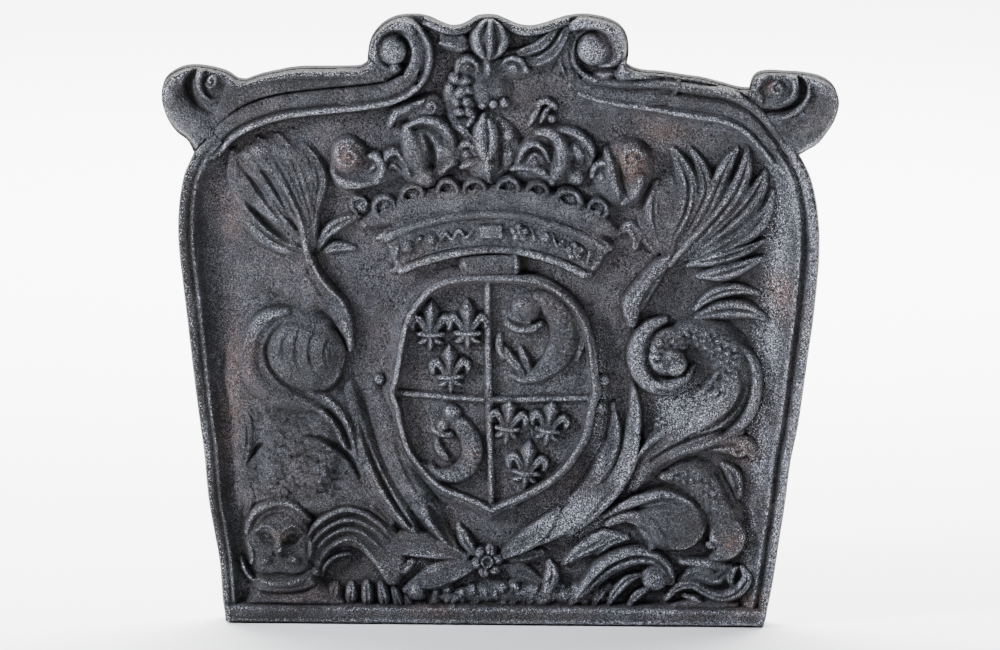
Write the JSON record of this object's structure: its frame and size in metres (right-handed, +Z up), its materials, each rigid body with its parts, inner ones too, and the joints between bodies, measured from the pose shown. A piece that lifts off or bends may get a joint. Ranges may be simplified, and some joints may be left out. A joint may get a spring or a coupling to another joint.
{
  "type": "cast iron fireback",
  "caption": "Arched cast-iron fireback with moulded border and corner scrolls, carved with a crowned quartered oval shield between two leaf-tailed dolphins.",
  "frame": {"origin": "Middle of the flat bottom edge, halfway through the plate's thickness", "axes": "+Z up; +X to the right of someone facing the carved side; the carved side faces -Y and the flat back +Y"},
  "size_m": [0.6727, 0.041, 0.6158],
  "materials": {
    "ground_iron": "rough as-cast, oxidised blue-black",
    "border_iron": "rough as-cast, worn grey on the beads",
    "shield_iron": "rough as-cast, oxidised",
    "carved_iron": "rough as-cast, rubbed on the high relief"
  },
  "bodies": {
    "root": {"plate": "ground_iron", "foot_band": "border_iron", "rail_left": "border_iron", "rail_right": "border_iron", "moulding_left": "border_iron", "moulding_right": "border_iron", "top_band_left": "border_iron", "top_band_right": "border_iron", "ear_left": "border_iron", "ear_right": "border_iron", "ear_eye_left": "border_iron", "ear_eye_right": "border_iron", "volute_left": "border_iron", "volute_right": "border_iron", "volute_eye_left": "border_iron", "volute_eye_right": "border_iron", "crest_edge": "border_iron", "crest_bud": "carved_iron", "crest_leaves": "carved_iron", "crown_finial": "carved_iron", "crown_pearls": "carved_iron", "fleuron_middle": "carved_iron", "fleuron_left": "carved_iron", "fleuron_right": "carved_iron", "crown_knob_left": "carved_iron", "crown_knob_right": "carved_iron", "crown_arches": "carved_iron", "circlet": "carved_iron", "circlet_beads": "carved_iron", "circlet_jewels": "carved_iron", "shield_field": "shield_iron", "shield_rim": "shield_iron", "shield_bars": "shield_iron", "shield_clasp": "shield_iron", "lilies_upper": "shield_iron", "lilies_lower": "shield_iron", "small_dolphin_upper": "shield_iron", "small_dolphin_lower": "shield_iron", "plume_left": "carved_iron", "tail_left": "carved_iron", "coil_left": "carved_iron", "body_left": "carved_iron", "head_left": "carved_iron", "fin_left": "carved_iron", "plume_right": "carved_iron", "tail_right": "carved_iron", "coil_right": "carved_iron", "body_right": "carved_iron", "head_right": "carved_iron", "fin_right": "carved_iron", "ribbons_left": "carved_iron", "ribbons_right": "carved_iron", "scrolls_left": "carved_iron", "acanthus_right": "carved_iron", "rosette": "carved_iron", "stems": "carved_iron", "petals_left": "carved_iron", "waves_right": "carved_iron"}
  },
  "joints": []
}
